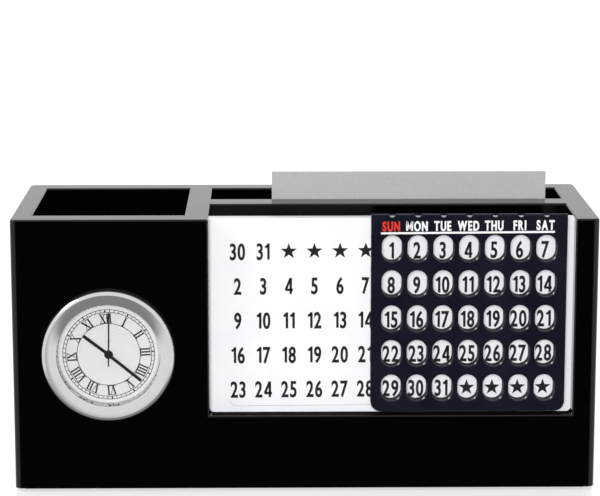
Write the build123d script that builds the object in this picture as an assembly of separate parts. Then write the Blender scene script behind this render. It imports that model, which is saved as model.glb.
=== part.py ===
from build123d import *

import os
from math import cos, pi, sin

# Desk calendar organizer: a lacquered board case with a pen compartment, a memo slot and a card slot,
# a perpetual calendar with a sliding window frame, and a push-in quartz clock.
# Millimetres. +Z is up and the front faces -Y. The origin is the middle of the underside.

# ---------------------------------------------------------------- the case
case_width = 185.0
case_depth = 68.0
case_height = 88.0
front_thickness = 8.4
back_thickness = 7.8
left_thickness = 6.4
right_thickness = 7.5
partition_thickness = 7.7
divider_thickness = 9.8
floor_thickness = 8.0
shelf_thickness = 6.0
pen_width = 48.0            # the pen compartment, from the left side to the partition
memo_slot = 20.3            # the front slot, from the front board to the divider
card_slot_depth = 46.4      # from the rim down to the shelf that the cards stand on
corner_radius = 2.0         # upright outer corners
edge_round = 0.6            # lacquered top edges
felt_thickness = 1.0
felt_margin = 3.0

# ---------------------------------------------------------------- the calendar
plate_thickness = 3.6
plate_below_rim = 0.3
plate_corner = 1.5
print_margin = 5.05         # from the first and last printed columns to the sides of the cut-out
columns_shown = 7
rows_shown = 5
columns_printed = 13
slider_thickness = 3.6
slider_side_margin = 2.45   # from the outer window columns to the slider's side edges
slider_clearance = 0.3      # from the slider to the plate, in front and behind
hook_clearance = 0.15       # from the hook's underside to the plate's top edge
slider_above_rim = 1.6
slider_top_fall = 0.9       # the slider's top face falls by this towards the back
slider_top_round = 0.4      # its front top edge
slider_above_ledge = 1.1
slider_corner = 3.2
window_web = 1.7            # between two windows of a row
row_pitch = 11.25           # between the rows of windows and of dates
window_height = 8.4
window_chamfer = 0.35
first_row_drop = 11.1       # from the slider's top edge to the centres of the first row of windows
last_row_rise = 7.7         # from the slider's bottom edge to the centres of the last row of windows
notch_radius = 1.1
notch_slope = 15.0          # degrees; the notches run down towards the back, over the plate's edge
hook_thickness = 0.4
hook_tab_width = 4.4
hook_lip_thickness = 1.3
hook_lip_drop = 9.0
hook_lip_fall = 1.0         # the rear lip's top falls by this towards the back
hook_side_step = 2.5        # the rear lip is shorter than the slider by this at each end

# ---------------------------------------------------------------- the clock
clock_z = 44.7
bezel_radius = 21.05
bezel_rise = 3.0
bezel_edge = 0.9            # straight outer edge of the bezel
bezel_crest_radius = 19.8
bezel_gap = 0.1             # from the bezel's back to the front board
lens_opening = 16.4
lens_lip = 0.5              # how far the lens reaches under the bezel
lens_thickness = 0.6
lens_dome = 0.6
lens_seat = 1.5             # height of the lens's rim above the front board
housing_radius = 17.6
housing_wall = 1.2
housing_depth = 12.4
housing_start = 0.6         # the housing's front edge, behind the front board's face
dial_ring_foot = 15.6       # inner radius of the sloped ring where it stands on the dial
ring_clearance = 0.05       # rubber friction ring in the board's bore
bore_radius = 18.5
ring_rib_height = 0.35
ring_ribs = 3
ring_rib_pitch = 1.6
ring_rib_width = 0.8
hand_thickness = 0.2
hand_gap = 0.15
second_hand_base = 0.35     # height of the second hand's underside above the front board
dial_gap = 0.3              # from the hour hand to the dial
dial_thickness = 0.4
hour_hand_length = 10.0
hour_hand_width = 1.0
minute_hand_length = 13.2
minute_hand_width = 0.95
second_hand_length = 13.6
second_hand_tail = 3.7
second_hand_width = 0.4
hand_boss_wall = 0.45
hour_hand_angle = 307.5     # clockwise from twelve, as the hands stand at rest
minute_hand_angle = 129.5
second_hand_angle = 1.0

# ---------------------------------------------------------------- the movement
arbor_radius = 0.3
running_fit = 0.06          # radial play of every wheel, pipe and stem
pipe_wall = 0.26
wheel_distance = 6.0        # from the centre of the dial to the minute wheel, and on to the stem
cannon_teeth = 12
minute_wheel_teeth = 36
minute_pinion_teeth = 10
hour_wheel_teeth = 40
tooth_addendum = 0.55       # of the module
tooth_dedendum = 0.9
wheel_thickness = 0.4
wheel_gap = 0.35
movement_plate_thickness = 1.0
stud_radius = 0.45
second_wheel_radius = 3.0
second_wheel_teeth = 30
drive_width = 13.4
drive_height = 16.0
drive_depth = 5.6
drive_offset = 3.2
drive_corner = 2.0
battery_radius = 5.8
battery_thickness = 5.4
battery_step = 0.5          # height of the narrower negative cap
battery_offset = -10.0
contact_thickness = 0.4
contact_width = 4.0
contact_length = 9.0
cover_thickness = 1.2
cover_boss_radius = 4.0
stem_radius = 0.8
knob_radius = 2.4
knob_length = 2.0
knob_gap = 0.4
knob_flutes = 12
flute_radius = 0.3

# ---------------------------------------------------------------- the card
card_width = 90.0
card_height = 55.0
card_thickness = 1.0
card_gap = 0.3              # from the card to the divider and to the shelf
card_from_right = 5.4       # from the card to the right side

# ---------------------------------------------------------------- places worked out from the sizes
face_y = -case_depth / 2
left_edge = -case_width / 2
right_edge = case_width / 2
pen_left = left_edge + left_thickness
pen_right = pen_left + pen_width
slot_left = pen_right + partition_thickness
slot_right = right_edge - right_thickness
back_inner = case_depth - back_thickness
divider_front = front_thickness + memo_slot
divider_back = divider_front + divider_thickness
floor_top = felt_thickness + floor_thickness
shelf_top = case_height - card_slot_depth
shelf_bottom = shelf_top - shelf_thickness
slot_middle = (slot_left + slot_right) / 2
clock_x = pen_left + pen_width / 2

plate_back = front_thickness
plate_front = plate_back - plate_thickness
plate_top = case_height - plate_below_rim
slider_back = plate_front - slider_clearance
slider_front = slider_back - slider_thickness
slider_top = case_height + slider_above_rim
slider_height = first_row_drop + (rows_shown - 1) * row_pitch + last_row_rise
slider_bottom = slider_top - slider_height
ledge_height = slider_bottom - slider_above_ledge
column_pitch = (slot_right - slot_left - 2 * print_margin) / columns_printed
window_width = column_pitch - window_web
columns_hidden = columns_printed - columns_shown
windows_middle = slot_middle + columns_hidden / 2 * column_pitch
slider_half = columns_shown / 2 * column_pitch + slider_side_margin
window_columns = [windows_middle + (k - (columns_shown - 1) / 2) * column_pitch for k in range(columns_shown)]
window_rows = [slider_top - first_row_drop - k * row_pitch for k in range(rows_shown)]
hook_bottom = plate_top + hook_clearance
hook_top = hook_bottom + hook_thickness
hook_lip_front = plate_back + slider_clearance
hook_lip_back = hook_lip_front + hook_lip_thickness

# Heights on the clock are measured forwards from the front board's face, along the clock's axis.
lens_back = lens_seat - lens_thickness
arbor_end = second_hand_base + hand_thickness / 2
minute_hand_base = second_hand_base - hand_gap - hand_thickness
hour_hand_base = minute_hand_base - hand_gap - hand_thickness
dial_front = hour_hand_base - dial_gap
dial_back = dial_front - dial_thickness
housing_inner = housing_radius - housing_wall
housing_back = -housing_start - housing_depth
cannon_bore = arbor_radius + running_fit
cannon_radius = cannon_bore + pipe_wall
hour_bore = cannon_radius + running_fit
hour_pipe_radius = hour_bore + pipe_wall
dial_hole = hour_pipe_radius + 3 * running_fit
hour_wheel_top = dial_back - wheel_gap
hour_wheel_base = hour_wheel_top - wheel_thickness
minute_wheel_top = hour_wheel_base - wheel_gap
minute_wheel_base = minute_wheel_top - wheel_thickness
movement_front = minute_wheel_base - wheel_gap
movement_back = movement_front - movement_plate_thickness
stem_x = 2 * wheel_distance
cover_front = housing_back + cover_thickness
drive_back = movement_back - drive_depth
second_wheel_top = movement_back - wheel_gap
second_wheel_base = second_wheel_top - wheel_thickness
battery_front = movement_back - contact_thickness
battery_back = battery_front - battery_thickness
knob_top = housing_back - knob_gap

clock_plane = Plane(origin=(clock_x, face_y, clock_z), x_dir=(1, 0, 0), z_dir=(0, -1, 0))
clock_axis = clock_plane.location


def block(left, right, front, back, bottom, top):
    """A box between six faces. Front and back are depths behind the face of the front board."""
    size = Box(right - left, back - front, top - bottom)
    return Pos((left + right) / 2, face_y + (front + back) / 2, (bottom + top) / 2) * size


def disc(radius, base, top, bore=0.0, x=0.0, y=0.0):
    """A disc or tube across the clock's axis, between two heights."""
    shape = Pos(x, y, base) * extrude(Circle(radius), top - base)
    if bore > 0:
        shape -= Pos(x, y, base) * extrude(Circle(bore), top - base)
    return shape


def toothed_wheel(teeth, module, base, top, bore, first_tooth=0.0, x=0.0):
    """A small brass wheel with straight-sided teeth; first_tooth is the angle of its first tooth in degrees."""
    pitch_radius = module * teeth / 2
    tip = pitch_radius + tooth_addendum * module
    root = pitch_radius - tooth_dedendum * module
    pitch = 2 * pi / teeth
    corners = ((root, -0.27), (tip, -0.12), (tip, 0.12), (root, 0.27))
    points = []
    for k in range(teeth):
        middle = first_tooth * pi / 180 + k * pitch
        for radius, share in corners:
            angle = middle + share * pitch
            points.append((radius * cos(angle), radius * sin(angle)))
    outline = make_face(Polyline(*points, close=True)) - Circle(bore)
    return Pos(x, 0, base) * extrude(outline, top - base)


def turned(points):
    """A closed outline of straight lines, given as radius and height, turned about the clock's axis."""
    return revolve(make_face(Plane.XZ * Polyline(*points, close=True)), Axis.Z)


# ---------------------------------------------------------------- the case's boards
def case_shell():
    """The whole case as it looks after lacquering, before it is parted into its boards."""
    shell = block(left_edge, right_edge, 0, case_depth, felt_thickness, case_height)
    shell = fillet(shell.edges().filter_by(Axis.Z), corner_radius)
    shell -= block(pen_left, pen_right, front_thickness, back_inner, floor_top, case_height)
    shell -= block(slot_left, slot_right, front_thickness, divider_front, floor_top, case_height)
    shell -= block(slot_left, slot_right, divider_back, back_inner, shelf_top, case_height)
    shell -= block(slot_left, slot_right, 0, front_thickness, ledge_height, case_height)
    top_edges = shell.edges().group_by(Axis.Z)[-1]
    face_edges = shell.edges().filter_by(lambda edge: on_cut_out(edge))
    shell = fillet(top_edges + face_edges, edge_round)
    shell -= block(slot_left, slot_right, divider_back, back_inner, floor_top, shelf_bottom)
    bore = disc(bore_radius, -front_thickness, 0)
    return shell - clock_axis * bore


def on_cut_out(edge):
    """True for the three edges of the cut-out on the face of the front board."""
    middle = edge.center()
    on_face = abs(middle.Y - face_y) < 0.01
    inside = slot_left - 0.01 < middle.X < slot_right + 0.01
    return on_face and inside and ledge_height - 0.01 < middle.Z < case_height - 0.01


def case_boards():
    """The boards, each cut from the shell where it is butted and glued to the next."""
    shell = case_shell()
    regions = {
        "front_board": (left_edge, right_edge, 0, front_thickness, felt_thickness, case_height),
        "back_board": (left_edge, right_edge, back_inner, case_depth, felt_thickness, case_height),
        "left_side": (left_edge, pen_left, front_thickness, back_inner, felt_thickness, case_height),
        "right_side": (slot_right, right_edge, front_thickness, back_inner, felt_thickness, case_height),
        "floor_board": (pen_left, slot_right, front_thickness, back_inner, felt_thickness, floor_top),
        "partition": (pen_right, slot_left, front_thickness, back_inner, floor_top, case_height),
        "divider": (slot_left, slot_right, divider_front, divider_back, floor_top, case_height),
        "card_shelf": (slot_left, slot_right, divider_back, back_inner, shelf_bottom, shelf_top),
    }
    return {name: shell & block(*region) for name, region in regions.items()}


def felt_base():
    """The felt sheet glued under the case."""
    return block(
        left_edge + felt_margin, right_edge - felt_margin, felt_margin, case_depth - felt_margin, 0, felt_thickness
    )


# ---------------------------------------------------------------- the calendar
def calendar_plate():
    """The white plate that carries the printed dates. It stands on the ledge of the cut-out."""
    plate = block(slot_left, slot_right, plate_front, plate_back, ledge_height, plate_top)
    return fillet(plate.edges().filter_by(Axis.Y).group_by(Axis.Z)[0], plate_corner)


def falling_top(front, back, top, fall):
    """The wedge to cut away where a top face falls towards the back."""
    corners = ((face_y + front, top), (face_y + back, top), (face_y + back, top - fall))
    return extrude(Plane.YZ * make_face(Polyline(*corners, close=True)), case_width, both=True)


def date_slider():
    """The window frame that hooks over the plate's top edge and slides along it."""
    left = windows_middle - slider_half
    right = windows_middle + slider_half
    frame = block(left, right, slider_front, slider_back, slider_bottom, slider_top)
    frame = fillet(frame.edges().filter_by(Axis.Y).group_by(Axis.Z)[0], slider_corner)
    frame -= falling_top(slider_front, slider_back, slider_top, slider_top_fall)
    frame = fillet(frame.edges().filter_by(Axis.X).group_by(Axis.Z)[-1], slider_top_round)
    window = extrude(Plane.XZ * SlotOverall(window_height, window_width, rotation=90), 2 * slider_thickness, both=True)
    notch = extrude(Plane.XZ * Circle(notch_radius), 2 * slider_thickness, both=True)
    for x in window_columns:
        frame -= Pos(x, face_y + slider_front, slider_top) * Rot(-notch_slope, 0, 0) * notch
        for z in window_rows:
            frame -= Pos(x, face_y + slider_front, z) * window
    rims = frame.faces().sort_by(Axis.Y)[0].inner_wires().edges()
    frame = chamfer(rims, window_chamfer)
    tab_places = [(a + b) / 2 for a, b in zip(window_columns, window_columns[1:])]
    for x in tab_places:
        half = hook_tab_width / 2
        frame += block(x - half, x + half, slider_back, hook_lip_back, hook_bottom, hook_top)
    lip_left = left + hook_side_step
    lip_right = right - hook_side_step
    frame += block(lip_left, lip_right, hook_lip_front, hook_lip_back, hook_top - hook_lip_drop, hook_top)
    return frame - falling_top(hook_lip_front, hook_lip_back, hook_top, hook_lip_fall)


# ---------------------------------------------------------------- the clock's case
def clock_bezel():
    """The turned and chromed ring with its domed face; a collar behind it seats on the housing."""
    crest = (bezel_crest_radius, bezel_rise)
    shoulder = (bezel_radius, bezel_gap + bezel_edge)
    lip = (lens_opening, lens_seat + lens_lip * 0.4)
    outer_middle = (
        bezel_crest_radius + (bezel_radius - bezel_crest_radius) * 0.74,
        bezel_rise - (bezel_rise - bezel_gap - bezel_edge) * 0.28,
    )
    inner_middle = ((bezel_crest_radius + lens_opening) / 2, bezel_rise - (bezel_rise - lip[1]) * 0.4)
    outline = [
        Line((bezel_radius, bezel_gap), shoulder),
        ThreePointArc(shoulder, outer_middle, crest),
        ThreePointArc(crest, inner_middle, lip),
        Polyline(
            lip,
            (lens_opening, lens_seat),
            (lens_opening + lens_lip, lens_seat),
            (lens_opening + lens_lip, -housing_start),
            (housing_radius, -housing_start),
            (housing_radius, bezel_gap),
            (bezel_radius, bezel_gap),
        ),
    ]
    return revolve(make_face([Plane.XZ * line for line in outline]), Axis.Z)


def clock_lens():
    """The domed glass, let into the bezel from behind."""
    sphere_radius = (lens_opening**2 + lens_dome**2) / (2 * lens_dome)
    dome = disc(lens_opening, lens_seat, lens_seat + lens_dome)
    dome &= Pos(0, 0, lens_seat + lens_dome - sphere_radius) * Sphere(sphere_radius)
    return disc(lens_opening + lens_lip, lens_back, lens_seat) + dome


def dial_ring():
    """The polished sloped ring that keeps the dial away from the glass."""
    outer = lens_opening + lens_lip
    return turned(
        [(dial_ring_foot, dial_front), (lens_opening, lens_back), (outer, lens_back), (outer, -housing_start),
         (housing_inner, -housing_start), (housing_inner, dial_front)]
    )


def clock_housing():
    """The plastic cup behind the bezel, a plain tube that the cover closes."""
    return disc(housing_radius, housing_back, -housing_start, bore=housing_inner)


def friction_ring():
    """The ribbed rubber ring on the housing that grips the bore of the front board."""
    outer = bore_radius - ring_clearance
    start = -housing_start - ring_rib_pitch / 2
    base = outer - ring_rib_height
    points = [(housing_radius, start), (base, start)]
    for k in range(ring_ribs):
        top = start - ring_rib_width / 2 - k * ring_rib_pitch
        points += [
            (base, top),
            (outer, top - ring_rib_width / 4),
            (outer, top - 3 * ring_rib_width / 4),
            (base, top - ring_rib_width),
        ]
    end = points[-1][1] - ring_rib_width / 2
    points += [(base, end), (housing_radius, end)]
    return turned(points)


def clock_cover():
    """The snap-in back cover. Its boss keeps the battery in place."""
    cover = disc(housing_inner, housing_back, cover_front)
    cover -= disc(stem_radius + running_fit, housing_back, cover_front, x=stem_x)
    return cover + disc(cover_boss_radius, cover_front, battery_back, x=battery_offset)


def clock_dial():
    return disc(housing_inner, dial_back, dial_front, bore=dial_hole)


# ---------------------------------------------------------------- the hands
def hand(length, width, base, bore, angle, tail=0.0):
    """A baton hand with a round boss, turned clockwise from twelve by the angle."""
    boss = Circle(bore + hand_boss_wall)
    blade = Pos(0, (length - tail) / 2) * Rectangle(width, length + tail)
    outline = boss + blade - Circle(bore)
    return Pos(0, 0, base) * Rot(0, 0, -angle) * extrude(outline, hand_thickness)


def second_hand():
    """The second hand. Its boss is closed in front and caps the end of the arbor."""
    base = second_hand_base
    blade = hand(
        second_hand_length, second_hand_width, base, arbor_radius, second_hand_angle, tail=second_hand_tail
    )
    return blade + disc(arbor_radius + hand_boss_wall, arbor_end, base + hand_thickness)


# ---------------------------------------------------------------- the movement
minute_module = 2 * wheel_distance / (cannon_teeth + minute_wheel_teeth)
hour_module = 2 * wheel_distance / (minute_pinion_teeth + hour_wheel_teeth)


def hour_wheel():
    """The hour wheel and its pipe, which carries the hour hand through the dial."""
    wheel = toothed_wheel(hour_wheel_teeth, hour_module, hour_wheel_base, hour_wheel_top, hour_bore)
    return wheel + disc(hour_pipe_radius, hour_wheel_top, hour_hand_base + hand_thickness, bore=hour_bore)


def cannon_pinion():
    """The pinion that the minute hand sits on."""
    pinion = toothed_wheel(cannon_teeth, minute_module, minute_wheel_base, minute_wheel_top, cannon_bore)
    foot = disc(cannon_radius, movement_front + running_fit, minute_wheel_base, bore=cannon_bore)
    return pinion + foot + disc(
        cannon_radius, minute_wheel_top, minute_hand_base + hand_thickness, bore=cannon_bore
    )


def minute_wheel():
    """The minute wheel with its pinion. It gears the hour wheel down from the cannon pinion by 12."""
    wheel_phase = 180 / minute_wheel_teeth
    pinion_phase = 180 / minute_pinion_teeth
    bore = stud_radius + running_fit
    wheel = toothed_wheel(
        minute_wheel_teeth, minute_module, minute_wheel_base, minute_wheel_top, bore, wheel_phase, wheel_distance
    )
    return wheel + toothed_wheel(
        minute_pinion_teeth, hour_module, minute_wheel_top, hour_wheel_top, bore, pinion_phase, wheel_distance
    )


def second_arbor():
    """The arbor of the second hand, with its wheel in the drive unit."""
    module = 2 * second_wheel_radius / (second_wheel_teeth + 2 * tooth_addendum)
    shaft = disc(arbor_radius, second_wheel_base - 2 * wheel_gap, arbor_end)
    return shaft + toothed_wheel(
        second_wheel_teeth, module, second_wheel_base, second_wheel_top, arbor_radius / 2
    )


def movement_plate():
    """The round plate that carries the motion work in front and the drive unit behind."""
    plate = disc(housing_inner, movement_back, movement_front, bore=cannon_bore)
    plate += disc(stud_radius, movement_front, hour_wheel_top, x=wheel_distance)
    return plate - disc(stem_radius + running_fit, movement_back, movement_front, x=stem_x)


def drive_unit():
    """The sealed quartz step drive, with the pocket that its output wheel turns in."""
    outline = RectangleRounded(drive_width, drive_height, drive_corner)
    unit = Pos(drive_offset, 0, drive_back) * extrude(outline, drive_depth)
    pocket_floor = second_wheel_base - wheel_gap
    unit -= disc(second_wheel_radius + wheel_gap, pocket_floor, movement_back)
    return unit - disc(cannon_bore, second_wheel_base - 3 * wheel_gap, pocket_floor)


def battery():
    """A button cell, its narrower negative cap towards the contact."""
    cap = disc(battery_radius - battery_step, battery_front - battery_step, battery_front, x=battery_offset)
    return cap + disc(battery_radius, battery_back, battery_front - battery_step, x=battery_offset)


def battery_contact():
    """The bent brass strip between the battery and the movement plate."""
    strip = RectangleRounded(contact_length, contact_width, contact_width / 4)
    return Pos(battery_offset, 0, battery_front) * extrude(strip, contact_thickness)


def setting_stem():
    """The stem that turns the minute wheel from outside."""
    shaft = disc(stem_radius, knob_top - knob_length / 2, minute_wheel_base, x=stem_x)
    return shaft + toothed_wheel(
        cannon_teeth, minute_module, minute_wheel_base, minute_wheel_top, arbor_radius, 0.0, stem_x
    )


def setting_knob():
    """The fluted knob on the end of the stem, behind the cover."""
    knob = disc(knob_radius, knob_top - knob_length, knob_top, x=stem_x)
    flute = disc(flute_radius, knob_top - knob_length, knob_top)
    for place in PolarLocations(knob_radius, knob_flutes):
        knob -= Pos(stem_x, 0, 0) * place * flute
    return knob - disc(stem_radius, knob_top - knob_length / 2, knob_top, x=stem_x)


def clock_parts():
    """Every piece of the clock, placed on the clock's axis."""
    parts = {
        "clock_bezel": clock_bezel(),
        "clock_lens": clock_lens(),
        "dial_ring": dial_ring(),
        "clock_housing": clock_housing(),
        "friction_ring": friction_ring(),
        "clock_cover": clock_cover(),
        "clock_dial": clock_dial(),
        "hour_hand": hand(hour_hand_length, hour_hand_width, hour_hand_base, hour_pipe_radius, hour_hand_angle),
        "minute_hand": hand(
            minute_hand_length, minute_hand_width, minute_hand_base, cannon_radius, minute_hand_angle
        ),
        "second_hand": second_hand(),
        "hour_wheel": hour_wheel(),
        "cannon_pinion": cannon_pinion(),
        "minute_wheel": minute_wheel(),
        "second_arbor": second_arbor(),
        "movement_plate": movement_plate(),
        "drive_unit": drive_unit(),
        "battery": battery(),
        "battery_contact": battery_contact(),
        "setting_stem": setting_stem(),
        "setting_knob": setting_knob(),
    }
    return {name: clock_axis * shape for name, shape in parts.items()}


# ---------------------------------------------------------------- the card
def visiting_card():
    """A blank card standing in the card slot, against the divider."""
    right = slot_right - card_from_right
    front = divider_back + card_gap
    bottom = shelf_top + card_gap
    return block(right - card_width, right, front, front + card_thickness, bottom, bottom + card_height)


os.makedirs("parts", exist_ok=True)
nodes = {
    **case_boards(),
    "felt_base": felt_base(),
    "calendar_plate": calendar_plate(),
    "date_slider": date_slider(),
    **clock_parts(),
    "visiting_card": visiting_card(),
}
for name, shape in nodes.items():
    export_step(shape, f"parts/{name}.step")
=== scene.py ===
import math

import bmesh
import bpy
from mathutils import Matrix, Vector


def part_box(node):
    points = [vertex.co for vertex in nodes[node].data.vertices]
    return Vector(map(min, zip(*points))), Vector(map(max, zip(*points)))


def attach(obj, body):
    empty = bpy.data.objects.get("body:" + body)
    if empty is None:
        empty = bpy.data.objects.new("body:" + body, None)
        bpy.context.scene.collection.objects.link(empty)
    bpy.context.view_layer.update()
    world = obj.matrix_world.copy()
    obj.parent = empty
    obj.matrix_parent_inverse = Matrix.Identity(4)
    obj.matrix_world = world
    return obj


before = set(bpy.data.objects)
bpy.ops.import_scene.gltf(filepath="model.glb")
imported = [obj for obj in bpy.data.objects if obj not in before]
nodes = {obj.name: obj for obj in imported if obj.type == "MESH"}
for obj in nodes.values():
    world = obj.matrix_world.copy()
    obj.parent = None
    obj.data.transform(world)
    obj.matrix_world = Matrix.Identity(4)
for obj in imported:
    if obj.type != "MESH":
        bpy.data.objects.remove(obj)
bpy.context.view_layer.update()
scene = bpy.context.scene
scene.view_settings.view_transform = "Standard"

# ---------------------------------------------------------------- studio
# A pale table under the case, a large soft lamp in front of it, a weaker one high on the left and one
# behind, in a white room. Polished surfaces mirror the room with a black flag low in front, which
# keeps the lacquered front black, and a grey floor; they don't mirror the table.
camera_place = (-0.0105, -0.7548, 0.21765)
camera_down = 10.892
camera_right = 0.706
camera_data = bpy.data.cameras.new("camera")
camera_data.sensor_width = 36
camera_data.lens = 140.55
camera = bpy.data.objects.new("camera", camera_data)
camera.location = camera_place
camera.rotation_euler = (math.radians(90 - camera_down), 0, math.radians(-camera_right))
scene.collection.objects.link(camera)
scene.camera = camera

lamp_aim = Vector((0, 0, 0.05))


def add_lamp(name, place, size, watts, mirrored=True):
    lamp_data = bpy.data.lights.new(name, "AREA")
    lamp_data.size = size
    lamp_data.energy = watts
    lamp = bpy.data.objects.new(name, lamp_data)
    lamp.location = place
    lamp.rotation_euler = (lamp_aim - Vector(place)).to_track_quat("-Z", "Y").to_euler()
    lamp.visible_glossy = mirrored
    scene.collection.objects.link(lamp)


add_lamp("key_lamp", (-0.1, -1.45, 0.38), size=0.5, watts=18.6, mirrored=False)
add_lamp("rim_lamp", (-0.98, -0.36, 0.88), size=0.32, watts=4.5)
add_lamp("back_lamp", (0.45, 1.3, 0.95), size=0.8, watts=9, mirrored=False)

flag_direction = (0.0, -0.982, -0.189)
room_white = 1.2
world = bpy.data.worlds.new("room")
scene.world = world
world.use_nodes = True
world_nodes = world.node_tree.nodes
world_links = world.node_tree.links
world_nodes.clear()
world_out = world_nodes.new("ShaderNodeOutputWorld")
light_path = world_nodes.new("ShaderNodeLightPath")
direction = world_nodes.new("ShaderNodeTexCoord")
split = world_nodes.new("ShaderNodeSeparateXYZ")
world_links.new(direction.outputs["Generated"], split.inputs[0])
towards_flag = world_nodes.new("ShaderNodeVectorMath")
towards_flag.operation = "DOT_PRODUCT"
towards_flag.inputs[1].default_value = flag_direction
world_links.new(direction.outputs["Generated"], towards_flag.inputs[0])


def room_fade(source, begin, end, low):
    """Fades the mirrored room from low, at begin, to white, at end."""
    fade = world_nodes.new("ShaderNodeMapRange")
    fade.interpolation_type = "SMOOTHSTEP"
    fade.inputs["From Min"].default_value = begin
    fade.inputs["From Max"].default_value = end
    fade.inputs["To Min"].default_value = low
    fade.inputs["To Max"].default_value = room_white
    world_links.new(source, fade.inputs["Value"])
    return fade.outputs[0]


beside_flag = room_fade(towards_flag.outputs["Value"], begin=0.975, end=0.86, low=0.03)
above_floor = room_fade(split.outputs["Z"], begin=-0.62, end=-0.36, low=0.36)
room_light = world_nodes.new("ShaderNodeMath")
room_light.operation = "MINIMUM"
world_links.new(beside_flag, room_light.inputs[0])
world_links.new(above_floor, room_light.inputs[1])
mirrored = world_nodes.new("ShaderNodeBackground")
world_links.new(room_light.outputs[0], mirrored.inputs["Strength"])
even = world_nodes.new("ShaderNodeBackground")
even.inputs["Strength"].default_value = 0.3
seen = world_nodes.new("ShaderNodeBackground")
seen.inputs["Color"].default_value = (1, 1, 1, 1)
seen.inputs["Strength"].default_value = 1.0
is_mirror = world_nodes.new("ShaderNodeMath")
is_mirror.operation = "MAXIMUM"
world_links.new(light_path.outputs["Is Glossy Ray"], is_mirror.inputs[0])
world_links.new(light_path.outputs["Is Transmission Ray"], is_mirror.inputs[1])
pick_mirror = world_nodes.new("ShaderNodeMixShader")
world_links.new(is_mirror.outputs[0], pick_mirror.inputs[0])
world_links.new(even.outputs[0], pick_mirror.inputs[1])
world_links.new(mirrored.outputs[0], pick_mirror.inputs[2])
pick_seen = world_nodes.new("ShaderNodeMixShader")
world_links.new(light_path.outputs["Is Camera Ray"], pick_seen.inputs[0])
world_links.new(pick_mirror.outputs[0], pick_seen.inputs[1])
world_links.new(seen.outputs[0], pick_seen.inputs[2])
world_links.new(pick_seen.outputs[0], world_out.inputs["Surface"])


def new_finish(name, colour, roughness, metallic=0.0):
    """A new material with one Principled shader, its plain values set on the shader itself."""
    material = bpy.data.materials.new(name)
    material.use_nodes = True
    shader = material.node_tree.nodes["Principled BSDF"]
    shader.inputs["Base Color"].default_value = (*colour, 1)
    shader.inputs["Roughness"].default_value = roughness
    shader.inputs["Metallic"].default_value = metallic
    return material, shader


glow_strength = 0.5
table_half = 1.0
table_back = 0.94
table_drop = 0.0001
table_finish, table_shader = new_finish("table_white", (0.78, 0.78, 0.78), 0.22)
table_tree = table_finish.node_tree
table_path = table_tree.nodes.new("ShaderNodeLightPath")
table_glow = table_tree.nodes.new("ShaderNodeMath")
table_glow.operation = "MULTIPLY"
table_glow.inputs[1].default_value = glow_strength
table_tree.links.new(table_path.outputs["Is Camera Ray"], table_glow.inputs[0])
table_tree.links.new(table_glow.outputs[0], table_shader.inputs["Emission Strength"])
table_shader.inputs["Emission Color"].default_value = (1, 1, 1, 1)
table_bm = bmesh.new()
bmesh.ops.create_grid(table_bm, x_segments=1, y_segments=1, size=table_half)
bmesh.ops.translate(table_bm, vec=(0, table_back, -table_drop), verts=table_bm.verts)
table_mesh = bpy.data.meshes.new("table")
table_bm.to_mesh(table_mesh)
table_mesh.materials.append(table_finish)
table_top = bpy.data.objects.new("table_top", table_mesh)
table_top.visible_glossy = False
scene.collection.objects.link(table_top)

# ---------------------------------------------------------------- case boards
# Eight boards of fibreboard, glued at butt joints, filled, sanded and sprayed with gloss black
# lacquer as one case. The lacquer has a faint orange peel and a little dust in it.
noise_low, noise_high = 0.3, 0.7
tint_dark, tint_light = 0.35, 0.65


def add_node(material, kind, **values):
    """A new shader node with some of its input sockets set."""
    node = material.node_tree.nodes.new(kind)
    for socket, value in values.items():
        node.inputs[socket.replace("_", " ")].default_value = value
    return node


def object_noise(material, scale, detail, roughness=0.5):
    """Noise that is fixed to the piece, in object coordinates; scale is per metre."""
    place = add_node(material, "ShaderNodeTexCoord")
    noise = add_node(material, "ShaderNodeTexNoise", Scale=scale, Detail=detail, Roughness=roughness)
    material.node_tree.links.new(place.outputs["Object"], noise.inputs["Vector"])
    return noise


def vary(material, shader, noise, socket, low, high):
    """Lets the noise move one of the shader's sockets between two values."""
    spread = add_node(material, "ShaderNodeMapRange")
    spread.inputs["From Min"].default_value = noise_low
    spread.inputs["From Max"].default_value = noise_high
    spread.inputs["To Min"].default_value = low
    spread.inputs["To Max"].default_value = high
    material.node_tree.links.new(noise.outputs[0], spread.inputs["Value"])
    material.node_tree.links.new(spread.outputs[0], shader.inputs[socket])


def tint(material, shader, noise, dark, light):
    """Lets the noise move the base colour between two colours."""
    ramp = add_node(material, "ShaderNodeValToRGB")
    ramp.color_ramp.elements[0].position = tint_dark
    ramp.color_ramp.elements[0].color = (*dark, 1)
    ramp.color_ramp.elements[1].position = tint_light
    ramp.color_ramp.elements[1].color = (*light, 1)
    material.node_tree.links.new(noise.outputs[0], ramp.inputs[0])
    material.node_tree.links.new(ramp.outputs[0], shader.inputs["Base Color"])


def relief(material, shader, noise, depth, strength):
    """Raises the surface by the noise; depth is in metres."""
    bump = add_node(material, "ShaderNodeBump", Strength=strength, Distance=depth)
    material.node_tree.links.new(noise.outputs[0], bump.inputs["Height"])
    material.node_tree.links.new(bump.outputs[0], shader.inputs["Normal"])


def dress(finish, *names):
    """Gives the CAD pieces their finish."""
    for name in names:
        slots = nodes[name].data.materials
        if len(slots) == 0:
            slots.append(finish)
        for k in range(len(slots)):
            slots[k] = finish


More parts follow.
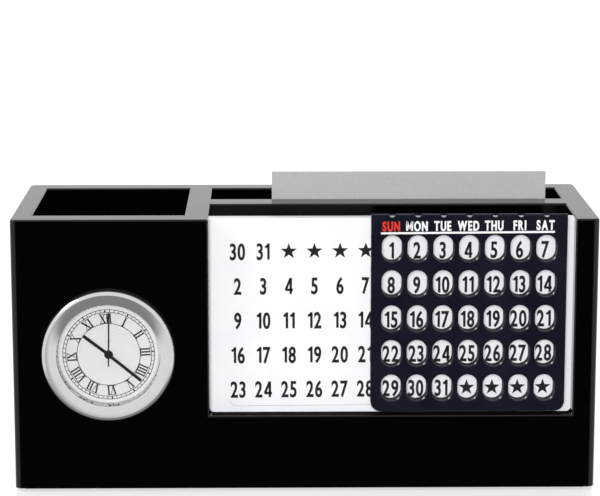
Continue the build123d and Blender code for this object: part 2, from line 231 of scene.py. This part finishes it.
lacquer, lacquer_shader = new_finish("black_lacquer_gloss", (0.0005, 0.0005, 0.0006), 0.08)
lacquer_shader.inputs["IOR"].default_value = 1.4
orange_peel = object_noise(lacquer, 260, 2)
relief(lacquer, lacquer_shader, orange_peel, 0.00004, 0.25)
lacquer_dust = object_noise(lacquer, 1400, 4, 0.6)
tint(lacquer, lacquer_shader, lacquer_dust, (0.0003, 0.0003, 0.0004), (0.0008, 0.0008, 0.0009))
lacquer_haze = object_noise(lacquer, 30, 3)
vary(lacquer, lacquer_shader, lacquer_haze, "Roughness", 0.05, 0.12)
dress(lacquer, "front_board", "back_board", "left_side", "right_side")
dress(lacquer, "floor_board", "partition", "divider", "card_shelf")

# ---------------------------------------------------------------- felt base
# A sheet of pressed black felt glued under the case, a little smaller than the case on all sides.
felt, felt_shader = new_finish("pressed_felt", (0.02, 0.02, 0.022), 0.95)
felt_fibres = object_noise(felt, 2600, 6, 0.7)
tint(felt, felt_shader, felt_fibres, (0.012, 0.012, 0.013), (0.034, 0.034, 0.037))
relief(felt, felt_shader, felt_fibres, 0.0002, 0.8)
dress(felt, "felt_base")

# ---------------------------------------------------------------- date plate
# A glossy white plastic plate stands in the cut-out of the front board, glued to the boards behind.
# Its dates are screen printed in black, thirteen columns in five rows with stars where a month has
# ended, and a thin grey line with a round corner runs below them.
plate_white, plate_shader = new_finish("glossy_white_plastic", (0.9, 0.92, 0.95), 0.14)
plate_cloud = object_noise(plate_white, 90, 3)
tint(plate_white, plate_shader, plate_cloud, (0.885, 0.905, 0.94), (0.915, 0.93, 0.955))
vary(plate_white, plate_shader, plate_cloud, "Roughness", 0.11, 0.18)
plate_ripple = object_noise(plate_white, 400, 2)
relief(plate_white, plate_shader, plate_ripple, 0.00002, 0.2)
dress(plate_white, "calendar_plate")

print_lift = 0.00003
date_height = 0.0054
date_squeeze = 0.64
date_weight = 0.021
date_gap = 0.06
date_column = 0.0081
date_slope = 0.0065
date_rows = (0.07685, 0.0657, 0.05455, 0.04335, 0.0321)
first_date_x = -0.0213
star_radius = 0.0027
star_points = 5
star_waist = 0.40
star = "*"
printed_rows = (
    ["30", "31", star, star, star, star, "1", "2", "3", "4", "5", "6", "7"],
    [str(day) for day in range(2, 15)],
    [str(day) for day in range(9, 22)],
    [str(day) for day in range(16, 29)],
    [*[str(day) for day in range(23, 32)], star, star, star, star],
)
upright = Matrix.Rotation(math.radians(90), 4, "X")
half_unit = 0.5


def bar(shape, start, end, width):
    """Adds a flat straight stroke between two points of the XY plane."""
    run = Vector(end) - Vector(start)
    middle = (Vector(start) + Vector(end)) / 2
    size = Matrix.Diagonal((run.length, width, 1, 1))
    turn = Matrix.Rotation(math.atan2(run.y, run.x), 4, "Z")
    place = Matrix.Translation((middle.x, middle.y, 0)) @ turn @ size
    bmesh.ops.create_grid(shape, x_segments=1, y_segments=1, size=half_unit, matrix=place)


# The figure 1 with its flag, the open 4 and the letter M are drawn with straight strokes, each from
# its start to its end. Every character stands on the X axis and is about glyph_height high with its
# weight.
stroke_glyphs = {
    "1": (((0.14, 0.0), (0.14, 0.7)), ((0.13, 0.63), (0.0, 0.52))),
    "4": (((0.24, 0.0), (0.24, 0.7)), ((0.23, 0.68), (0.03, 0.19)), ((0.0, 0.18), (0.33, 0.18))),
    "M": (
        ((0.0, 0.0), (0.0, 0.7)),
        ((0.38, 0.0), (0.38, 0.7)),
        ((0.02, 0.66), (0.19, 0.12)),
        ((0.36, 0.66), (0.19, 0.12)),
    ),
}
stroke_plain = 0.098
glyph_middle = 0.35
glyph_height = 0.73
curve_steps = 5


def set_character(character, squeeze, weight):
    """One flat character in the XY plane, as a bmesh, with the left and right ends of its ink."""
    shape = bmesh.new()
    if character in stroke_glyphs:
        for start, end in stroke_glyphs[character]:
            bar(shape, start, end, stroke_plain * squeeze + 2 * weight)
    else:
        text = bpy.data.curves.new("character", "FONT")
        text.body = character
        setting = bpy.data.objects.new("character", text)
        scene.collection.objects.link(setting)
        bpy.ops.object.select_all(action="DESELECT")
        bpy.context.view_layer.objects.active = setting
        setting.select_set(True)
        bpy.ops.object.convert(target="CURVE")
        outlines = setting.data
        for spline in outlines.splines:
            for point in spline.bezier_points:
                spots = [tuple(spot) for spot in (point.co, point.handle_left, point.handle_right)]
                spots = [(x * squeeze, y, z) for x, y, z in spots]
                point.co, point.handle_left, point.handle_right = spots
        outlines.dimensions = "2D"
        outlines.fill_mode = "FRONT"
        outlines.resolution_u = curve_steps
        outlines.offset = weight
        bpy.context.view_layer.update()
        depsgraph = bpy.context.evaluated_depsgraph_get()
        flat = bpy.data.meshes.new_from_object(setting.evaluated_get(depsgraph))
        bpy.data.objects.remove(setting)
        shape.from_mesh(flat)
        bpy.data.meshes.remove(flat)
    across = [vert.co.x for vert in shape.verts]
    return shape, min(across), max(across)


def set_words(words, height, squeeze, weight, gap):
    """Flat characters in the XY plane, centred on the origin, with the same gap between them."""
    line = bmesh.new()
    cursor = 0
    for character in words:
        shape, left, right = set_character(character, squeeze, weight)
        stamp(line, shape, Matrix.Translation((cursor - left, -glyph_middle, 0)))
        cursor += right - left + gap
    bmesh.ops.translate(line, vec=((gap - cursor) / 2, 0, 0), verts=line.verts)
    bmesh.ops.scale(line, vec=(height / glyph_height,) * 3, verts=line.verts)
    return line


def stamp(target, characters, place):
    """Adds one printed character or word to a growing mesh."""
    bmesh.ops.transform(characters, matrix=place, verts=characters.verts)
    loose = bpy.data.meshes.new("loose")
    characters.to_mesh(loose)
    characters.free()
    target.from_mesh(loose)
    bpy.data.meshes.remove(loose)


def printed_star(radius):
    """A flat five-pointed star, as a bmesh."""
    shape = bmesh.new()
    bmesh.ops.create_circle(shape, cap_ends=True, segments=2 * star_points, radius=radius)
    for number, vert in enumerate(shape.verts):
        if number % 2 == 1:
            vert.co *= star_waist
    return shape


def finish_piece(name, shape, finish, body):
    """Makes the finished piece from its bmesh and lets it ride on its body."""
    mesh = bpy.data.meshes.new(name)
    shape.to_mesh(mesh)
    shape.free()
    mesh.materials.append(finish)
    piece = bpy.data.objects.new(name, mesh)
    scene.collection.objects.link(piece)
    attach(piece, body)


def new_ink(name, colour, dark, light):
    """A satin printing ink with a fine grain between two colours."""
    ink, ink_shader = new_finish(name, colour, roughness=0.35)
    ink_grain = object_noise(ink, scale=3000, detail=3)
    tint(ink, ink_shader, ink_grain, dark, light)
    return ink


black_ink = new_ink("black_print", (0.012, 0.012, 0.014), (0.009, 0.009, 0.011), (0.018, 0.018, 0.02))
plate_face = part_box("calendar_plate")[0].y - print_lift
dates_bm = bmesh.new()
for row_z, row in zip(date_rows, printed_rows):
    for column, mark in enumerate(row):
        along = column * date_column
        spot = (first_date_x + along, plate_face, row_z + along * date_slope)
        if mark == star:
            shape = printed_star(star_radius)
        else:
            shape = set_words(mark, date_height, date_squeeze, date_weight, date_gap)
        stamp(dates_bm, shape, Matrix.Translation(spot) @ upright)
finish_piece("printed_dates", dates_bm, black_ink, "case")

grey_ink = new_ink("grey_print", (0.5, 0.51, 0.53), (0.46, 0.47, 0.49), (0.55, 0.56, 0.58))
grey_left, grey_right = -0.0241, 0.0792
grey_low = 0.0267
grey_width = 0.00016
corner_radius = 0.0026
corner_start, corner_sweep = 200, 70
corner_steps = 5
flat_line_bm = bmesh.new()
corner = Vector((grey_left + corner_radius, grey_low + corner_radius))
run = []
for step in range(corner_steps + 1):
    turn = math.radians(corner_start + corner_sweep * step / corner_steps)
    run.append(corner + corner_radius * Vector((math.cos(turn), math.sin(turn))))
run.append(Vector((grey_right, grey_low + (grey_right - grey_left) * date_slope)))
for start, end in zip(run, run[1:]):
    bar(flat_line_bm, start, end, grey_width)
grey_line_bm = bmesh.new()
stamp(grey_line_bm, flat_line_bm, Matrix.Translation((0, plate_face, 0)) @ upright)
finish_piece("printed_line", grey_line_bm, grey_ink, "case")

# ---------------------------------------------------------------- ledge
# A thin matt reddish black sheet lies on the bottom of the cut-out, where the plate stands, in front
# of the plate: painted shade, a dark sheet put where the ledge between plate and front edge is in
# shade.
ledge_shade, ledge_shade_shader = new_finish("painted_ledge_shade", (0.006, 0.0025, 0.0025), 0.9)
ledge_shade_shader.inputs["Specular IOR Level"].default_value = 0.05
ledge_shade_grain = object_noise(ledge_shade, 2200, 4)
tint(ledge_shade, ledge_shade_shader, ledge_shade_grain, (0.004, 0.0018, 0.0018), (0.009, 0.0035, 0.0035))
shade_sheet_lift = 0.00005
arris_round = 0.0007
plate_low, plate_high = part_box("calendar_plate")
ledge_x = (plate_low.x + plate_high.x) / 2
ledge_width = plate_high.x - plate_low.x - 2 * arris_round
ledge_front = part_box("front_board")[0].y + arris_round
ledge_y = (ledge_front + plate_low.y) / 2
ledge_depth = plate_low.y - ledge_front
ledge_spot = (ledge_x, ledge_y, plate_low.z + shade_sheet_lift)
ledge_place = Matrix.Translation(ledge_spot) @ Matrix.Diagonal((ledge_width, ledge_depth, 1, 1))
ledge_bm = bmesh.new()
bmesh.ops.create_grid(ledge_bm, x_segments=1, y_segments=1, size=half_unit, matrix=ledge_place)
# This dark sheet on the ledge is painted shade.
finish_piece("painted_shade_ledge", ledge_bm, ledge_shade, "case")

# ---------------------------------------------------------------- date slider
# A moulded navy plastic frame with 35 oval windows hooks over the plate's top edge and slides on it.
# The weekday names and the line under them are printed on its face, Sunday in red.
navy, navy_shader = new_finish("navy_plastic", (0.0065, 0.008, 0.0145), 0.2)
navy_cloud = object_noise(navy, 60, 3)
tint(navy, navy_shader, navy_cloud, (0.0055, 0.007, 0.013), (0.008, 0.0095, 0.017))
vary(navy, navy_shader, navy_cloud, "Roughness", 0.14, 0.24)
navy_grain = object_noise(navy, 1500, 3)
relief(navy, navy_shader, navy_grain, 0.00002, 0.3)

# The face and the rims of the windows are glossy; behind them the moulded grain is left matt.
gloss_depth = 0.00036
gloss_fade = 0.0001
matt_roughness = 0.75
slider_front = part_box("date_slider")[0].y
navy_links = navy.node_tree.links
navy_place = add_node(navy, "ShaderNodeTexCoord")
navy_axes = add_node(navy, "ShaderNodeSeparateXYZ")
navy_links.new(navy_place.outputs["Object"], navy_axes.inputs[0])
navy_matt = add_node(navy, "ShaderNodeMapRange")
navy_matt.inputs["From Min"].default_value = slider_front + gloss_depth
navy_matt.inputs["From Max"].default_value = slider_front + gloss_depth + gloss_fade
navy_matt.inputs["To Max"].default_value = matt_roughness
navy_links.new(navy_axes.outputs["Y"], navy_matt.inputs["Value"])
navy_gloss = navy_shader.inputs["Roughness"].links[0].from_socket
navy_most = add_node(navy, "ShaderNodeMath")
navy_most.operation = "MAXIMUM"
navy_links.new(navy_matt.outputs[0], navy_most.inputs[0])
navy_links.new(navy_gloss, navy_most.inputs[1])
navy_links.new(navy_most.outputs[0], navy_shader.inputs["Roughness"])
dress(navy, "date_slider")

weekdays = ("SUN", "MON", "TUE", "WED", "THU", "FRI", "SAT")
weekday_height = 0.0031
weekday_squeeze = 0.60
weekday_weight = 0.034
weekday_gap = 0.07
weekday_z = 0.0856
first_weekday_x = 0.0270
weekday_column = 0.00807
header_slope = 0.007
line_left, line_right = 0.0238, 0.0784
line_low, line_high = 0.08305, 0.0837
slider_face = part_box("date_slider")[0].y - print_lift
white_ink = new_ink("white_print", (0.88, 0.89, 0.9), (0.84, 0.85, 0.87), (0.92, 0.93, 0.94))
red_ink = new_ink("red_print", (0.72, 0.045, 0.025), (0.66, 0.038, 0.022), (0.78, 0.055, 0.03))


def print_weekday(target, number):
    """Prints one weekday name over its column of windows."""
    along = number * weekday_column
    spot = (first_weekday_x + along, slider_face, weekday_z + along * header_slope)
    words = set_words(weekdays[number], weekday_height, weekday_squeeze, weekday_weight, weekday_gap)
    stamp(target, words, Matrix.Translation(spot) @ upright)


sunday_bm = bmesh.new()
print_weekday(sunday_bm, 0)
finish_piece("printed_sunday", sunday_bm, red_ink, "date_slider")
weekdays_bm = bmesh.new()
for number in range(1, len(weekdays)):
    print_weekday(weekdays_bm, number)
line_bm = bmesh.new()
line_rise = (line_right - line_left) * header_slope
bar(line_bm, (line_left, 0), (line_right, line_rise), line_high - line_low)
stamp(weekdays_bm, line_bm, Matrix.Translation((0, slider_face, (line_low + line_high) / 2)) @ upright)
finish_piece("printed_weekdays", weekdays_bm, white_ink, "date_slider")

# ---------------------------------------------------------------- clock bezel and dial ring
# The bezel is a turned brass ring, domed and chromed, that covers the edge of the bore. The
# polished ring inside it stands on the dial and keeps the glass away from the hands.
chrome, chrome_shader = new_finish("satin_chrome", (0.7, 0.7, 0.7), 0.16, metallic=1.0)
chrome_haze = object_noise(chrome, 200, 4)
vary(chrome, chrome_shader, chrome_haze, "Roughness", 0.12, 0.2)
chrome_marks = object_noise(chrome, 1800, 3)
relief(chrome, chrome_shader, chrome_marks, 0.00001, 0.15)
dress(chrome, "clock_bezel")
polish, polish_shader = new_finish("polished_chrome", (0.75, 0.75, 0.75), 0.06, metallic=1.0)
polish_haze = object_noise(polish, 300, 3)
vary(polish, polish_shader, polish_haze, "Roughness", 0.04, 0.09)
dress(polish, "dial_ring")

# ---------------------------------------------------------------- clock glass
# A thin domed disc of clear mineral glass, pressed into the bezel from behind.
glass, glass_shader = new_finish("clear_glass", (0.1, 0.105, 0.105), 0.02)
glass_shader.inputs["IOR"].default_value = 1.45
glass_shader.inputs["Alpha"].default_value = 0.04
glass_haze = object_noise(glass, 150, 2)
vary(glass, glass_shader, glass_haze, "Roughness", 0.01, 0.05)
dress(glass, "clock_lens")

# ---------------------------------------------------------------- dial
# A thin metal disc, painted matt white and printed in black: a track of 60 minutes between two
# circles, Roman hours with their feet to the centre, and a fine inner circle. The clock stands
# turned a few degrees to the left in its bore.
dial_paint, dial_shader = new_finish("dial_paint", (0.8, 0.8, 0.79), 0.6)
dial_grain = object_noise(dial_paint, 2500, 4)
tint(dial_paint, dial_shader, dial_grain, (0.78, 0.78, 0.77), (0.83, 0.83, 0.82))
relief(dial_paint, dial_shader, dial_grain, 0.00001, 0.3)
dress(dial_paint, "clock_dial")

dial_low, dial_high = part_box("clock_dial")
clock_x = (dial_low.x + dial_high.x) / 2
clock_z = (dial_low.z + dial_high.z) / 2
dial_face = dial_low.y - print_lift
track_outer = 0.0145
track_inner = 0.0136
inner_circle = 0.01
hour_foot = 0.0102
hour_top = 0.0131
thin_line = 0.0002
hour_tick, minute_tick = 0.0004, 0.00018
ring_steps = 120
minute_degrees, hour_degrees = 6, 30
clock_turn = 4.0
hour_names = ("XII", "I", "II", "III", "IIII", "V", "VI", "VII", "VIII", "IX", "X", "XI")
thick_stroke = 0.00048
thin_stroke = 0.00018
stroke_widths = {"I": 0.00095, "V": 0.0019, "X": 0.0020}


def ring_line(shape, radius, width):
    """Adds a printed circle to the flat print."""
    inner = shape.verts.new((radius - width / 2, 0, 0))
    outer = shape.verts.new((radius + width / 2, 0, 0))
    edge = shape.edges.new((inner, outer))
    bmesh.ops.spin(
        shape,
        geom=[inner, outer, edge],
        cent=(0, 0, 0),
        axis=(0, 0, 1),
        angle=math.tau,
        steps=ring_steps,
        use_merge=True,
    )


def roman(hour):
    """One Roman hour, its foot on the X axis and centred on the Y axis."""
    shape = bmesh.new()
    letters = hour_names[hour]
    height = hour_top - hour_foot
    left = -sum(stroke_widths[letter] for letter in letters) / 2
    start = left
    for letter in letters:
        width = stroke_widths[letter]
        middle = left + width / 2
        if letter == "I":
            bar(shape, (middle, 0), (middle, height), thick_stroke)
        if letter == "V":
            reach = width / 2 - thick_stroke / 2
            bar(shape, (middle - reach, height), (middle, 0), thick_stroke)
            bar(shape, (middle + reach, height), (middle, 0), thin_stroke)
        if letter == "X":
            reach = width / 2 - thick_stroke / 2
            bar(shape, (middle - reach, height), (middle + reach, 0), thick_stroke)
            bar(shape, (middle + reach, height), (middle - reach, 0), thin_stroke)
        left += width
    bar(shape, (start, 0), (left, 0), thin_line)
    bar(shape, (start, height), (left, height), thin_line)
    return shape


def face_print(flat):
    """Turns flat print in the XY plane into place on the dial."""
    level = Matrix.Rotation(math.radians(clock_turn), 4, "Z")
    return Matrix.Translation((clock_x, dial_face, clock_z)) @ upright @ level @ flat


dial_bm = bmesh.new()
track_bm = bmesh.new()
for radius in (track_outer, track_inner, inner_circle):
    ring_line(track_bm, radius, thin_line)
for minute in range(60):
    turn = math.radians(minute_degrees * minute)
    width = hour_tick if minute % 5 == 0 else minute_tick
    bar(
        track_bm,
        (math.sin(turn) * track_inner, math.cos(turn) * track_inner),
        (math.sin(turn) * track_outer, math.cos(turn) * track_outer),
        width,
    )
stamp(dial_bm, track_bm, face_print(Matrix.Identity(4)))
for hour in range(12):
    turn = Matrix.Rotation(math.radians(-hour_degrees * hour), 4, "Z")
    stamp(dial_bm, roman(hour), face_print(turn @ Matrix.Translation((0, hour_foot, 0))))
bmesh.ops.recalc_face_normals(dial_bm, faces=dial_bm.faces)
finish_piece("printed_dial", dial_bm, black_ink, "clock_insert")

# ---------------------------------------------------------------- hands
# Three stamped baton hands, painted satin black and pressed on their pipes and arbor.
hand_paint, hand_shader = new_finish("hand_paint", (0.008, 0.008, 0.009), 0.32)
hand_grain = object_noise(hand_paint, 2000, 3)
vary(hand_paint, hand_shader, hand_grain, "Roughness", 0.26, 0.4)
relief(hand_paint, hand_shader, hand_grain, 0.00001, 0.2)
dress(hand_paint, "hour_hand", "minute_hand", "second_hand")

# ---------------------------------------------------------------- housing, cover and drive
# The clock's cup, its back cover, the movement's plate, the sealed drive and the setting knob are
# moulded in matt black plastic; the cover snaps into the cup.
moulding, moulding_shader = new_finish("moulded_plastic", (0.03, 0.03, 0.032), 0.5)
moulding_grain = object_noise(moulding, 1200, 5)
tint(moulding, moulding_shader, moulding_grain, (0.025, 0.025, 0.027), (0.037, 0.037, 0.04))
relief(moulding, moulding_shader, moulding_grain, 0.00005, 0.4)
dress(moulding, "clock_housing", "clock_cover", "movement_plate", "drive_unit", "setting_knob")

# ---------------------------------------------------------------- friction ring
# A ribbed ring of black rubber stretched over the cup. It grips the bore and lets the clock be
# pushed in and pulled out by hand.
rubber, rubber_shader = new_finish("matt_rubber", (0.02, 0.02, 0.02), 0.8)
rubber_grain = object_noise(rubber, 900, 5)
tint(rubber, rubber_shader, rubber_grain, (0.015, 0.015, 0.015), (0.028, 0.028, 0.028))
relief(rubber, rubber_shader, rubber_grain, 0.00008, 0.5)
dress(rubber, "friction_ring")

# ---------------------------------------------------------------- wheels, arbor, stem and contact
# The motion work is turned and cut from brass: the cannon pinion, the minute wheel, the hour wheel,
# the second arbor and the setting stem. The battery contact is stamped from brass strip.
brass, brass_shader = new_finish("turned_brass", (0.72, 0.55, 0.25), 0.3, metallic=1.0)
brass_grain = object_noise(brass, 2500, 4)
tint(brass, brass_shader, brass_grain, (0.66, 0.49, 0.21), (0.78, 0.6, 0.3))
vary(brass, brass_shader, brass_grain, "Roughness", 0.22, 0.38)
dress(brass, "hour_wheel", "cannon_pinion", "minute_wheel", "second_arbor")
dress(brass, "setting_stem", "battery_contact")

# ---------------------------------------------------------------- battery
# A button cell in a drawn nickel-plated steel can, under the boss of the cover.
nickel, nickel_shader = new_finish("nickel_steel", (0.62, 0.61, 0.58), 0.25, metallic=1.0)
nickel_grain = object_noise(nickel, 1500, 4)
vary(nickel, nickel_shader, nickel_grain, "Roughness", 0.18, 0.36)
dress(nickel, "battery")

# ---------------------------------------------------------------- card
# One blank card of satin silver-grey board, cut square, standing in the card slot.
board, board_shader = new_finish("silver_board", (0.5, 0.5, 0.495), 0.42)
board_fibre = object_noise(board, 1800, 5, 0.6)
tint(board, board_shader, board_fibre, (0.445, 0.445, 0.44), (0.495, 0.495, 0.49))
relief(board, board_shader, board_fibre, 0.00003, 0.35)
dress(board, "visiting_card")
